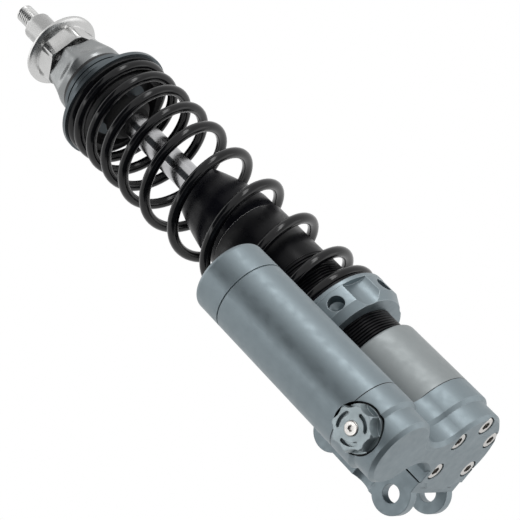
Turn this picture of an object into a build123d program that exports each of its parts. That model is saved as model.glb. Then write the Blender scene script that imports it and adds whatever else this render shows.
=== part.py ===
from build123d import *
import math
import os

# Scooter shock absorber: a coil spring over an adjustable oil damper with an external reservoir.
# Sizes are millimetres. The model is worked out in the damper's own frame: Z runs along the damper axis
# towards the top stud, with 0 on the face where the two tubes meet the lower housing.
# The saved parts are moved so that the middle of the lower clevis bolt is the origin, X along the bolt.

# Running, sliding and seating clearances, each radial
RUN = 0.05
SEAT = 0.03
FACE_GAP = 0.1

# Clevis and its place on the damper
BOLT_TO_AXIS = 29.0
BOLT_TO_JOINT = 15.8
BOLT_SPACING = 40.0
BOLT_HOLE_R = 4.2
EAR_R = 9.6
PLATE_T = 5.4
CLEVIS_WIDTH = 40.0
PLATE_EDGE_Y = -35.8
CHANNEL_FLOOR_Y = -19.5
CHANNEL_ROOF = 10.4
PAD_EDGE_Y = -15.8
PAD_STEP = 0.7
SHOULDER_Y = -16.4
RELIEF_R = 7.4
RELIEF_DEPTH = 2.4
RELIEF_Z = -1.5

# Lower housing
TURRET_R = 24.5
RESERVOIR_R = 18.3
RESERVOIR_X = 57.0
HOUSING_DEPTH = 23.2
STEP_DEPTH = 13.0
STEP_IN = 1.8
FOOT_CHAMFER = 1.7
WEB_HALF = 5.6
WEB_FILLET = 5.0
FLOOR_T = 14.2
GALLERY_R = 1.8
GALLERY_Z = -6.4
NECK_H = 8.0
NECK_WALL = 5.5
NECK_STEP = 2.3
CHAMBER_FLOOR = 1.0
DOWNWAY_R = 3.5

# Damper tube, its foot and the outer sleeve
TUBE_R = 21.7
TUBE_LAND_R = 21.3
TUBE_BORE_R = 18.0
THREAD_TOP = 93.0
TUBE_TOP = 130.0
TUBE_CHAMFER = 0.8
SLEEVE_H = 37.3
SLEEVE_EDGE = 1.6
FOOT_FLANGE_H = 7.0
FOOT_SPIGOT_H = 8.0
FOOT_PORT_R = 4.0
SCREW_COUNT = 6
SCREW_SKIPPED = 4
SCREW_START = 27.0
SCREW_CIRCLE_R = 17.0
SCREW_CLEARANCE_HOLE_R = 2.75
SCREW_R = 2.5
SCREW_LENGTH = 15.4
SCREW_HEAD_R = 4.25
SCREW_HEAD_H = 5.0
SCREW_RECESS_R = 4.7
SCREW_SUNK = 0.3
SCREW_SOCKET_AF = 4.0
SCREW_SOCKET_DEPTH = 2.6

# Seal head
ROD_R = 7.0
HEAD_SPIGOT = 12.0
HEAD_R = 20.6
HEAD_SHOULDER = 140.0
HEAD_TOP = 170.0
HEAD_TOP_R = 13.0
GLAND_R = 11.0
BUSH_H = 18.0
SEAL_H = 7.0
WIPER_R = 10.5
WIPER_H = 5.5
WIPER_LIP = 0.8
ORING_R = 1.2
ORING_GROOVE_H = 2.8

# Rod, piston and bump parts
STROKE = 55.0
ROD_TAIL = 24.0
ROD_TAIL_R = 5.0
ROD_CORE_R = 2.2
SHIM_R = 13.0
SHIM_T = 0.4
SHIM_COUNT = 3
SHIM_STEP = 1.8
PISTON_H = 14.0
PISTON_PORT_R = 1.8
PISTON_PORTS = 6
PISTON_PORT_CIRCLE_R = 9.0
BAND_T = 1.0
BAND_H = 7.0
PISTON_NUT_AF = 17.0
PISTON_NUT_H = 7.0
BUMPER_R = 11.0
BUMPER_H = 7.5
BUMPER_GAP = 0.5
BUMP_STOP_BOTTOM = 226.0
BUMP_STOP_H = 6.5
BUMP_STOP_R = 12.5
BUMP_STOP_TIP_R = 9.0
SEAT_NUT_AF = 19.0
SEAT_NUT_H = 6.5

# Upper spring seat and spring guide
LIP_R = 31.2
LIP_Z = 242.4
LIP_T = 2.2
SEAT_NECK_R = 21.0
SEAT_NECK_Z = 250.0
SEAT_TOP = 258.0
SEAT_RINGS = 2
SEAT_RING_GROOVE = 0.6
SEAT_BOSS_R = 16.0
GUIDE_FLANGE_T = 1.4
GUIDE_FLANGE_R = 29.6
GUIDE_H = 6.0
GUIDE_WALL = 3.5
WASHER_R = 19.6

# Rebound knob, its pin and its needle
KNOB_BOTTOM = 261.0
KNOB_TOP = 279.0
KNOB_BASE_R = 19.4
KNOB_BELT_R = 20.4
KNOB_BELT_Z = 265.0
KNOB_TOP_R = 17.0
KNOB_DIMPLES = 8
DIMPLE_R = 10.5
DIMPLE_REACH = 27.4
DIMPLE_Z = 275.0
PIN_R = 1.2
PIN_Z = 270.0
PIN_HALF = 9.2
NEEDLE_TRAVEL = 1.2
NEEDLE_GAP = 0.3
NEEDLE_R = 2.15
NEEDLE_TIP_R = 0.8
NEEDLE_TIP_L = 6.0
GROOVE_R = 9.6

# Top mount
MOUNT_BOTTOM = 281.0
HEX_AF = 30.0
HEX_H = 9.6
HEX_CHAMFER = 1.2
FLANGE_R = 20.9
FLANGE_RIM_Z = 292.0
FLANGE_RIM_T = 2.2
DOME_TOP = 299.5
SPIGOT_R = 8.0
SPIGOT_TOP = 317.7
SPIGOT_CHAMFER = 1.5
STUD_R = 5.0
STUD_TOP = 330.0
STUD_CHAMFER = 1.0
ROD_THREAD_R = 5.5
ROD_THREAD_L = 14.0

# Spring
WIRE_R = 2.7
SPRING_MEAN_R = 27.3
SPRING_BOTTOM = 67.6
COIL_PITCHES = (15.0, 27.5, 26.8, 25.6, 22.0, 15.6, 15.0, 11.4, 11.0)
END_TURNS = 0.75
END_PITCH = 2.2
COIL_BEARING = 107.8
POINTS_PER_TURN = 12

# Preload collar and thrust washer
COLLAR_R = 30.5
COLLAR_H = 16.4
WASHER_T = 1.1
WASHER_GAP = 0.05
COLLAR_LIP_T = 2.4
COLLAR_BACK_R = 27.5
COLLAR_BACK_H = 4.0
COLLAR_LOBES = 6
FLUTE_R = 13.0
FLUTE_DEPTH = 3.4
SPANNER_HOLE_R = 4.0
SPANNER_HOLE_DEPTH = 6.0
COLLAR_WASHER_R = 29.6

# Reservoir
RESERVOIR_BORE_R = 15.0
TUBE_LENGTH = 77.4
CAP_H = 16.4
CAP_EDGE = 3.0
CAP_SPIGOT_H = 9.0
CAP_GROOVE = 0.5
CAP_GROOVE_H = 0.8
VALVE_RECESS_R = 8.0
VALVE_RECESS_DEPTH = 7.0
VALVE_R = 4.0
VALVE_H = 14.0
VALVE_CAP_R = 5.6
VALVE_CAP_H = 5.0
FLOAT_Z = 14.0
FLOAT_H = 13.0
FLOAT_CUP_R = 10.5
FLOAT_CUP_DEPTH = 8.0

# Compression adjuster, along X in the reservoir turret
ADJUSTER_Z = -8.0
POCKET_R = 11.0
POCKET_FLOOR = 13.2
VALVE_BORE_R = 6.5
VALVE_BORE_L = 26.0
NEEDLE_SEAT_T = 3.0
NEEDLE_SEAT_HOLE_R = 2.2
GLAND_L = 13.0
NEEDLE_STEM_R = 3.4
NEEDLE_NOSE_L = 2.4
NEEDLE_LAND_L = 1.5
NEEDLE_CUP_L = 5.0
SPINDLE_R = 2.5
SPINDLE_TAIL = 2.0
ADJUSTER_KNOB_R = 10.2
ADJUSTER_KNOB_GAP = 0.2
ADJUSTER_KNOB_H = 8.2
ADJUSTER_FACETS = 8
FACET_R = 6.5
FACET_DEPTH = 1.9
ARC_SLOTS = 3
ARC_SLOT_R = 6.4
ARC_SLOT_HALF = 0.8
ARC_SLOT_SWEEP = 62.0
ARC_SLOT_DEPTH = 2.0
KNOB_SCREW_R = 3.2
KNOB_SCREW_H = 2.4
KNOB_SCREW_PROUD = 0.6
KNOB_SCREW_AF = 2.5

# Places that follow from the sizes above
JOINT_TO_BOLT = Pos(0, BOLT_TO_AXIS, BOLT_TO_JOINT)
LOWER_BOLT_Z = -BOLT_TO_JOINT
UPPER_BOLT_Z = BOLT_SPACING - BOLT_TO_JOINT
CLEVIS_GAP = CLEVIS_WIDTH - 2 * PLATE_T
CUP_FLOOR = -HOUSING_DEPTH + FLOOR_T
TUBE_BOTTOM = CUP_FLOOR + FOOT_FLANGE_H
NECK_R = RESERVOIR_R - NECK_STEP
TUBE_CLEAR_R = TUBE_R + RUN
COLLAR_TOP = SPRING_BOTTOM - WASHER_T - WASHER_GAP
COLLAR_BOTTOM = COLLAR_TOP - COLLAR_H
HEAD_BOTTOM = TUBE_TOP - HEAD_SPIGOT
ROD_SHOULDER = HEAD_BOTTOM - BUMPER_GAP - BUMPER_H
PISTON_TOP = ROD_SHOULDER - SHIM_COUNT * SHIM_T
PISTON_BOTTOM = PISTON_TOP - PISTON_H
NUT_TOP = PISTON_BOTTOM - SHIM_COUNT * SHIM_T
SEAT_BOTTOM = BUMP_STOP_BOTTOM + BUMP_STOP_H + SEAT_NUT_H
SPRING_TOP = LIP_Z - GUIDE_FLANGE_T
POCKET_FLOOR_X = RESERVOIR_X + POCKET_FLOOR
VALVE_BORE_X = POCKET_FLOOR_X - VALVE_BORE_L
GLAND_X = POCKET_FLOOR_X - GLAND_L
KNOB_BACK_X = POCKET_FLOOR_X + ADJUSTER_KNOB_GAP
KNOB_FACE_X = KNOB_BACK_X + ADJUSTER_KNOB_H
CAP_BOTTOM = TUBE_LENGTH
CAP_TOP = CAP_BOTTOM + CAP_H
NEEDLE_BODY_X = VALVE_BORE_X + NEEDLE_SEAT_T


def rod(radius, bottom, top):
    """A plain cylinder about Z between two heights."""
    return Pos(0, 0, bottom) * Cylinder(radius, top - bottom, align=(Align.CENTER, Align.CENTER, Align.MIN))


def ring(outer, inner, bottom, top):
    """A plain hollow cylinder about Z between two heights."""
    return rod(outer, bottom, top) - rod(inner, bottom, top)


def turned(points):
    """A solid of revolution about Z from radius and height pairs."""
    outline = Plane.XZ * Polyline(*points, close=True)
    return revolve(make_face(outline), Axis.Z)


def hexagon(across_flats, bottom, top):
    """A hexagonal prism about Z."""
    outline = RegularPolygon(across_flats / 2, 6, major_radius=False)
    return extrude(Pos(0, 0, bottom) * outline, top - bottom)


def around(shape, count, start=0.0, skipped=()):
    """Copies of a shape turned about Z at equal steps."""
    step = 360.0 / count
    return [Rot(0, 0, start + i * step) * shape for i in range(count) if i not in skipped]


def along_x(shape):
    """A shape made about Z, laid along the adjuster's axis with its height becoming the X position."""
    return Pos(0, 0, ADJUSTER_Z) * Rot(0, 90, 0) * shape


def save(name, shape):
    """Writes one part in the frame of the lower clevis bolt."""
    export_step(JOINT_TO_BOLT * shape, "parts/" + name + ".step")


def housing_outline(inset):
    """Outline of the two turrets and the web between them, drawn in by an inset."""
    main = Circle(TURRET_R - inset)
    side = Pos(RESERVOIR_X, 0) * Circle(RESERVOIR_R - inset)
    web = Pos(RESERVOIR_X / 2, 0) * Rectangle(RESERVOIR_X, 2 * (WEB_HALF - inset / 2))
    outline = main + side + web
    inner = [v for v in outline.vertices() if abs(v.Y) < WEB_HALF + 1 and TURRET_R / 2 < v.X < RESERVOIR_X]
    return fillet(inner, WEB_FILLET)


def turret_block():
    """The two turrets with their stepped waist and chamfered foot."""
    upper = extrude(Pos(0, 0, -STEP_DEPTH) * housing_outline(0), STEP_DEPTH)
    upper = chamfer(upper.faces().sort_by(Axis.Z)[0].edges(), STEP_IN - 0.05)
    lower = extrude(Pos(0, 0, -HOUSING_DEPTH) * housing_outline(STEP_IN), HOUSING_DEPTH - STEP_DEPTH / 2)
    lower = chamfer(lower.faces().sort_by(Axis.Z)[0].edges(), FOOT_CHAMFER)
    return upper + lower


def clevis_plate(side):
    """One clevis plate with two ears, its shoulder and the relief on its outer face."""
    ears = Pos(-BOLT_TO_AXIS, LOWER_BOLT_Z) * Circle(EAR_R)
    ears += Pos(-BOLT_TO_AXIS, UPPER_BOLT_Z) * Circle(EAR_R)
    low = LOWER_BOLT_Z
    high = UPPER_BOLT_Z
    strap = Polyline((PLATE_EDGE_Y, low), (PLATE_EDGE_Y, high), (CHANNEL_FLOOR_Y, high), (CHANNEL_FLOOR_Y, low), close=True)
    foot = Polyline(
        (-BOLT_TO_AXIS, low), (-BOLT_TO_AXIS, -HOUSING_DEPTH + PAD_STEP), (SHOULDER_Y, -HOUSING_DEPTH + PAD_STEP),
        (SHOULDER_Y, 0), (-BOLT_TO_AXIS, 0), close=True)
    outline = ears + make_face(strap) + make_face(foot)
    plate = extrude(Plane.YZ * outline, PLATE_T)
    inner_x = CLEVIS_GAP / 2 if side > 0 else -CLEVIS_GAP / 2 - PLATE_T
    plate = Pos(inner_x, 0, 0) * plate
    plate -= rod(TURRET_R + 4 * FACE_GAP, 0, UPPER_BOLT_Z + 2 * EAR_R)
    relief = Rot(90, 0, 0) * Cylinder(RELIEF_R, 4 * EAR_R)
    relief_x = side * (CLEVIS_WIDTH / 2 + RELIEF_R - RELIEF_DEPTH)
    return plate - Pos(relief_x, -BOLT_TO_AXIS, RELIEF_Z) * relief


def channel():
    """The open space between the plates, which flattens the turret's front."""
    reach = 2 * EAR_R
    height = HOUSING_DEPTH - CHANNEL_ROOF
    box = Box(CLEVIS_GAP, reach, height + reach, align=(Align.CENTER, Align.MAX, Align.MAX))
    return Pos(0, CHANNEL_FLOOR_Y, -CHANNEL_ROOF) * box


def front_bridge():
    """The straight front of the foot that joins the two plates."""
    depth = SHOULDER_Y - CHANNEL_FLOOR_Y
    height = HOUSING_DEPTH - PAD_STEP
    box = Box(CLEVIS_WIDTH, depth, height, align=(Align.CENTER, Align.MIN, Align.MIN))
    return Pos(0, CHANNEL_FLOOR_Y, -height) * box


def foot_pad():
    """The raised part of the foot behind the straight front edge."""
    depth = -PAD_EDGE_Y / 2
    box = Box(CLEVIS_WIDTH, depth, HOUSING_DEPTH, align=(Align.CENTER, Align.MIN, Align.MIN))
    corner = Pos(0, PAD_EDGE_Y, -HOUSING_DEPTH) * box
    return corner & rod(TURRET_R + STEP_IN, -HOUSING_DEPTH, 0)


def housing_screw_cuts():
    """Clearance holes and recesses for the screws that hold the damper."""
    cut = rod(SCREW_CLEARANCE_HOLE_R, -HOUSING_DEPTH, CUP_FLOOR)
    cut += rod(SCREW_RECESS_R, -HOUSING_DEPTH, -HOUSING_DEPTH + SCREW_HEAD_H + SCREW_SUNK)
    cut = Pos(SCREW_CIRCLE_R, 0, 0) * cut
    return around(cut, SCREW_COUNT, SCREW_START, (SCREW_SKIPPED,))


def lower_housing():
    """The machined housing that carries the damper, the reservoir and the clevis."""
    body = turret_block() + front_bridge() + foot_pad()
    body -= channel()
    body += clevis_plate(1)
    body += clevis_plate(-1)
    body += Pos(RESERVOIR_X, 0, 0) * rod(NECK_R, 0, NECK_H)
    body -= rod(TUBE_R + SEAT, CUP_FLOOR, 0)
    body -= Pos(RESERVOIR_X, 0, 0) * rod(NECK_R - NECK_WALL, CHAMBER_FLOOR, NECK_H)
    body -= Pos(RESERVOIR_X - DOWNWAY_R, 0, 0) * rod(DOWNWAY_R, ADJUSTER_Z, 0)
    body -= along_x(rod(POCKET_R, POCKET_FLOOR_X, RESERVOIR_X + 2 * RESERVOIR_R))
    body -= along_x(rod(VALVE_BORE_R, VALVE_BORE_X, POCKET_FLOOR_X))
    gallery = Pos(0, 0, GALLERY_Z) * Rot(0, 90, 0) * rod(GALLERY_R, TUBE_BORE_R, VALVE_BORE_X)
    body -= gallery
    for cut in housing_screw_cuts():
        body -= cut
    for height in (LOWER_BOLT_Z, UPPER_BOLT_Z):
        hole = Rot(0, 90, 0) * Cylinder(BOLT_HOLE_R, 2 * CLEVIS_WIDTH)
        body -= Pos(0, -BOLT_TO_AXIS, height) * hole
    return body


def housing_screws():
    """Socket head screws from below, one place of the circle left free."""
    head_bottom = -HOUSING_DEPTH + SCREW_SUNK
    head = rod(SCREW_HEAD_R, head_bottom, head_bottom + SCREW_HEAD_H)
    head = chamfer(head.edges().sort_by(Axis.Z)[0], SCREW_HEAD_R / 12)
    head -= hexagon(SCREW_SOCKET_AF, head_bottom, head_bottom + SCREW_SOCKET_DEPTH)
    screw = head + rod(SCREW_R, head_bottom + SCREW_HEAD_H, head_bottom + SCREW_HEAD_H + SCREW_LENGTH)
    screw = Pos(SCREW_CIRCLE_R, 0, 0) * screw
    return Compound(around(screw, SCREW_COUNT, SCREW_START, (SCREW_SKIPPED,)))


def damper_sleeve():
    """The grey outer sleeve that stands on the main turret."""
    sleeve = ring(TURRET_R, TUBE_CLEAR_R, 0, SLEEVE_H)
    outer_top = sleeve.edges().group_by(Axis.Z)[-1].sort_by(SortBy.RADIUS)[-1]
    return fillet(outer_top, SLEEVE_EDGE)


def damper_tube():
    """The damper body: threaded outside below, with a plain land above."""
    tube = rod(TUBE_R, TUBE_BOTTOM, THREAD_TOP) + rod(TUBE_LAND_R, THREAD_TOP, TUBE_TOP)
    rim = tube.edges().group_by(Axis.Z)[-1]
    tube = chamfer(rim, TUBE_CHAMFER)
    return tube - rod(TUBE_BORE_R, TUBE_BOTTOM, TUBE_TOP)


def tube_foot():
    """The flanged plug under the damper tube, which takes the housing screws and ports the oil."""
    foot = rod(TUBE_R, CUP_FLOOR, TUBE_BOTTOM)
    foot += rod(TUBE_BORE_R - SEAT, TUBE_BOTTOM, TUBE_BOTTOM + FOOT_SPIGOT_H)
    foot -= rod(FOOT_PORT_R, GALLERY_Z, TUBE_BOTTOM + FOOT_SPIGOT_H)
    foot -= Pos(0, 0, GALLERY_Z) * Rot(0, 90, 0) * rod(GALLERY_R, 0, TUBE_R + RUN)
    screw_top = -HOUSING_DEPTH + SCREW_SUNK + SCREW_HEAD_H + SCREW_LENGTH
    hole = Pos(SCREW_CIRCLE_R, 0, 0) * rod(SCREW_R + SEAT, CUP_FLOOR, screw_top + SEAT)
    for cut in around(hole, SCREW_COUNT, SCREW_START, (SCREW_SKIPPED,)):
        foot -= cut
    return foot


def seal_head():
    """The rounded cap that closes the damper tube and guides the rod."""
    shoulder = Plane.XZ * Polyline(
        (0, HEAD_BOTTOM), (TUBE_BORE_R - SEAT, HEAD_BOTTOM), (TUBE_BORE_R - SEAT, TUBE_TOP),
        (HEAD_R, TUBE_TOP), (HEAD_R, HEAD_SHOULDER))
    brow = Plane.XZ * ThreePointArc(
        (HEAD_R, HEAD_SHOULDER), (HEAD_R - 3.4, (HEAD_SHOULDER + HEAD_TOP) / 2 + 1), (HEAD_TOP_R, HEAD_TOP - 1))
    top = Plane.XZ * Polyline((HEAD_TOP_R, HEAD_TOP - 1), (HEAD_TOP_R - 1, HEAD_TOP), (0, HEAD_TOP), (0, HEAD_BOTTOM))
    head = revolve(make_face([*shoulder.edges(), *brow.edges(), *top.edges()]), Axis.Z)
    head -= rod(ROD_R + RUN, HEAD_BOTTOM, HEAD_TOP)
    head -= rod(GLAND_R, HEAD_BOTTOM, HEAD_BOTTOM + BUSH_H + SEAL_H)
    head -= rod(WIPER_R, HEAD_TOP - WIPER_H, HEAD_TOP)
    groove_z = (HEAD_BOTTOM + TUBE_TOP) / 2
    groove = ring(TUBE_BORE_R, TUBE_BORE_R - 2 * ORING_R - RUN, groove_z - ORING_GROOVE_H / 2, groove_z + ORING_GROOVE_H / 2)
    return head - groove


def oring(outer, height):
    """An O-ring about Z whose outside touches a bore."""
    return Pos(0, 0, height) * Torus(outer - ORING_R - SEAT, ORING_R)


def rod_bush():
    """The plain bearing that the rod slides in."""
    return ring(GLAND_R - SEAT, ROD_R + RUN, HEAD_BOTTOM, HEAD_BOTTOM + BUSH_H)


def rod_seal():
    """The oil seal above the bush."""
    bottom = HEAD_BOTTOM + BUSH_H
    seal = ring(GLAND_R - SEAT, ROD_R + RUN, bottom, bottom + SEAL_H)
    trench = (GLAND_R + ROD_R) / 2
    return seal - ring(trench + 0.7, trench - 0.7, bottom, bottom + SEAL_H / 2)


def dust_wiper():
    """The scraper in the top of the seal head."""
    bottom = HEAD_TOP - WIPER_H
    outer = WIPER_R - SEAT
    lip = ROD_R + RUN
    return turned([(lip, bottom), (outer, bottom), (outer, HEAD_TOP), (lip + 1.6, HEAD_TOP),
                   (lip + 0.8, HEAD_TOP + WIPER_LIP), (lip, HEAD_TOP + WIPER_LIP)])


def piston_rod():
    """The chromed rod, hollow for the rebound needle, with a threaded tail and a threaded top."""
    tail = ROD_SHOULDER - ROD_TAIL
    body = rod(ROD_TAIL_R, tail, ROD_SHOULDER) + rod(ROD_R, ROD_SHOULDER, MOUNT_BOTTOM)
    body += rod(ROD_THREAD_R, MOUNT_BOTTOM, MOUNT_BOTTOM + ROD_THREAD_L)
    core_top = PIN_Z + 2 * PIN_R + NEEDLE_TRAVEL + 4 * NEEDLE_GAP
    body -= rod(ROD_CORE_R, tail, core_top)
    slot_half = PIN_R + NEEDLE_TRAVEL + NEEDLE_GAP
    slot = Box(2 * (PIN_R + RUN), 2 * ROD_R + 1, 2 * slot_half)
    return body - Pos(0, 0, PIN_Z) * slot


def shim_stack(bottom, widest_first):
    """A stack of thin valve shims, each a separate disc, in steps of diameter."""
    discs = []
    for i in range(SHIM_COUNT):
        place = i if widest_first else SHIM_COUNT - 1 - i
        low = bottom + i * SHIM_T
        discs.append(ring(SHIM_R - place * SHIM_STEP, ROD_TAIL_R + SEAT, low, low + SHIM_T))
    return Compound(discs)


def damper_piston():
    """The main piston with its ports and the groove for its band."""
    outer = TUBE_BORE_R - 2 * RUN
    body = ring(outer, ROD_TAIL_R + SEAT, PISTON_BOTTOM, PISTON_TOP)
    middle = (PISTON_BOTTOM + PISTON_TOP) / 2
    body -= ring(outer + 1, outer - BAND_T, middle - BAND_H / 2, middle + BAND_H / 2)
    port = Pos(PISTON_PORT_CIRCLE_R, 0, 0) * rod(PISTON_PORT_R, PISTON_BOTTOM, PISTON_TOP)
    for cut in around(port, PISTON_PORTS):
        body -= cut
    return body


def piston_band():
    """The low friction band that bears on the tube."""
    middle = (PISTON_BOTTOM + PISTON_TOP) / 2
    outer = TUBE_BORE_R - RUN
    return ring(outer, TUBE_BORE_R - 2 * RUN - BAND_T + SEAT, middle - BAND_H / 2, middle + BAND_H / 2)


def nut(across_flats, bottom, height, bore):
    """A hexagon nut with chamfered corners."""
    body = hexagon(across_flats, bottom, bottom + height)
    corner = across_flats / math.sqrt(3)
    flat = across_flats / 2
    lathe = turned([(0, bottom), (flat, bottom), (corner, bottom + (corner - flat) / 2),
                    (corner, bottom + height - (corner - flat) / 2), (flat, bottom + height), (0, bottom + height)])
    return (body & lathe) - rod(bore, bottom, bottom + height)


def topout_bumper():
    """The rubber ring that cushions full extension."""
    return ring(BUMPER_R, ROD_R + SEAT, ROD_SHOULDER, ROD_SHOULDER + BUMPER_H)


def bump_stop():
    """The tapered rubber that meets the seal head at full compression."""
    bottom = BUMP_STOP_BOTTOM
    top = bottom + BUMP_STOP_H
    bore = ROD_R + SEAT
    return turned([(bore, bottom), (BUMP_STOP_TIP_R, bottom), (BUMP_STOP_R, bottom + BUMP_STOP_H * 0.6),
                   (BUMP_STOP_R, top), (bore, top)])


def upper_spring_seat():
    """The flared grey seat that takes the top of the spring."""
    bore = ROD_R + SEAT
    flare = (LIP_R + SEAT_NECK_R) / 2
    points = [(bore, SEAT_BOTTOM), (SEAT_BOSS_R, SEAT_BOTTOM), (SEAT_BOSS_R, LIP_Z), (LIP_R, LIP_Z),
              (LIP_R, LIP_Z + LIP_T), (flare, LIP_Z + LIP_T + 1.2), (SEAT_NECK_R + 1.2, SEAT_NECK_Z - 1.2),
              (SEAT_NECK_R, SEAT_NECK_Z), (SEAT_NECK_R, SEAT_TOP), (bore, SEAT_TOP)]
    seat = turned(points)
    step = (SEAT_TOP - SEAT_NECK_Z) / (SEAT_RINGS + 1)
    for i in range(SEAT_RINGS):
        z = SEAT_NECK_Z + (i + 1) * step
        seat -= ring(SEAT_NECK_R + 1, SEAT_NECK_R - SEAT_RING_GROOVE, z - 0.4, z + 0.4)
    return seat


def spring_guide():
    """The black plastic ring that centres the top coil."""
    outer = SPRING_MEAN_R - WIRE_R - 4 * FACE_GAP
    guide = ring(outer, outer - GUIDE_WALL, SPRING_TOP - GUIDE_H, SPRING_TOP)
    return guide + ring(GUIDE_FLANGE_R, SEAT_BOSS_R + SEAT, SPRING_TOP, LIP_Z)


def seat_washer():
    """The dark ring between the seat and the rebound knob."""
    return ring(WASHER_R, ROD_R + SEAT, SEAT_TOP, KNOB_BOTTOM - FACE_GAP)


def rebound_knob():
    """The scalloped adjuster knob round the rod, with an inner groove for the cross pin."""
    bore = ROD_R + RUN
    points = [(bore, KNOB_BOTTOM), (KNOB_BASE_R, KNOB_BOTTOM), (KNOB_BELT_R, KNOB_BELT_Z),
              (KNOB_BELT_R - 0.3, KNOB_BELT_Z + 1.6), (KNOB_TOP_R, KNOB_TOP - 1), (KNOB_TOP_R - 1, KNOB_TOP),
              (bore, KNOB_TOP)]
    knob = turned(points)
    dimple = Pos(DIMPLE_REACH, 0, DIMPLE_Z) * Sphere(DIMPLE_R)
    for cut in around(dimple, KNOB_DIMPLES):
        knob -= cut
    half = PIN_R + NEEDLE_TRAVEL + NEEDLE_GAP
    return knob - ring(GROOVE_R, bore - 1, PIN_Z - half, PIN_Z + half)


def rebound_pin():
    """The cross pin that carries the knob's movement to the needle."""
    return Pos(0, 0, PIN_Z) * Rot(90, 0, 0) * Cylinder(PIN_R, 2 * PIN_HALF)


def rebound_needle():
    """The long metering needle inside the rod."""
    tail = ROD_SHOULDER - ROD_TAIL
    top = PIN_Z + 2 * PIN_R
    tip = tail + NEEDLE_TRAVEL + NEEDLE_GAP
    body = turned([(0, tip), (NEEDLE_TIP_R, tip), (NEEDLE_R, tip + NEEDLE_TIP_L), (NEEDLE_R, top), (0, top)])
    hole = Pos(0, 0, PIN_Z) * Rot(90, 0, 0) * Cylinder(PIN_R + SEAT, 3 * NEEDLE_R)
    return body - hole


def top_mount():
    """The bright top mount in one piece: hexagon, domed flange, spigot and stud."""
    hex_top = MOUNT_BOTTOM + HEX_H
    prism = hexagon(HEX_AF, MOUNT_BOTTOM, FLANGE_RIM_Z + FLANGE_RIM_T / 2)
    corner = HEX_AF / math.sqrt(3) + 0.1
    lathe = turned([(0, MOUNT_BOTTOM), (corner - HEX_CHAMFER, MOUNT_BOTTOM), (corner, MOUNT_BOTTOM + HEX_CHAMFER / 2),
                    (corner, hex_top - HEX_CHAMFER), (corner - HEX_CHAMFER, hex_top), (corner - HEX_CHAMFER, FLANGE_RIM_Z + 1),
                    (0, FLANGE_RIM_Z + 1)])
    rim_top = FLANGE_RIM_Z + FLANGE_RIM_T
    lower = Plane.XZ * Polyline((0, hex_top), (HEX_AF / 2 - 1, hex_top), (FLANGE_R - 0.4, FLANGE_RIM_Z),
                                (FLANGE_R, FLANGE_RIM_Z + 0.4), (FLANGE_R, rim_top - 0.6))
    dome_mid = ((FLANGE_R + SPIGOT_R) / 2 + 1.2, (rim_top + DOME_TOP) / 2 + 0.6)
    dome = Plane.XZ * ThreePointArc((FLANGE_R, rim_top - 0.6), dome_mid, (SPIGOT_R, DOME_TOP))
    upper = Plane.XZ * Polyline((SPIGOT_R, DOME_TOP), (SPIGOT_R, SPIGOT_TOP - SPIGOT_CHAMFER),
                                (SPIGOT_R - SPIGOT_CHAMFER, SPIGOT_TOP), (STUD_R, SPIGOT_TOP),
                                (STUD_R, STUD_TOP - STUD_CHAMFER), (STUD_R - STUD_CHAMFER, STUD_TOP), (0, STUD_TOP),
                                (0, hex_top))
    stem = revolve(make_face([*lower.edges(), *dome.edges(), *upper.edges()]), Axis.Z)
    body = (prism & lathe) + stem
    return body - rod(ROD_THREAD_R + SEAT, MOUNT_BOTTOM, MOUNT_BOTTOM + ROD_THREAD_L + FACE_GAP)


def coil_height(turn):
    """Height of the wire's centre after a number of turns from the first open coil."""
    start = SPRING_BOTTOM + END_TURNS * END_PITCH + WIRE_R / 3
    if turn < 0:
        return start + turn * END_PITCH
    height = start
    for i, pitch in enumerate(COIL_PITCHES):
        height += pitch * min(max(turn - i, 0), 1)
    return height + END_PITCH * max(turn - len(COIL_PITCHES), 0)


def smooth_height(turn):
    """The same height with the change from one pitch to the next spread over most of a turn."""
    spread = 0.45
    samples = 9
    total = 0.0
    for i in range(samples):
        total += coil_height(turn + spread * (2 * i / (samples - 1) - 1))
    return total / samples


def spring():
    """The right-hand progressive coil spring with closed and ground ends."""
    first = -END_TURNS
    last = len(COIL_PITCHES) + END_TURNS
    count = int((last - first) * POINTS_PER_TURN) + 1
    points = []
    for i in range(count):
        turn = first + (last - first) * i / (count - 1)
        angle = math.radians(COIL_BEARING + 360 * turn)
        x = SPRING_MEAN_R * math.cos(angle)
        y = SPRING_MEAN_R * math.sin(angle)
        points.append((x, y, smooth_height(turn)))
    path = Spline(*points)
    section = Plane(origin=path @ 0, z_dir=path % 0) * Circle(WIRE_R)
    wire = sweep(section, path=path, is_frenet=True)
    reach = 2 * (SPRING_MEAN_R + WIRE_R)
    window = Pos(0, 0, (SPRING_BOTTOM + SPRING_TOP) / 2) * Box(reach, reach, SPRING_TOP - SPRING_BOTTOM)
    return wire & window


def thrust_washer():
    """The thin steel ring between the collar and the spring."""
    return ring(COLLAR_WASHER_R, TUBE_R + 2 * RUN, COLLAR_TOP + WASHER_GAP, SPRING_BOTTOM)


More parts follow.
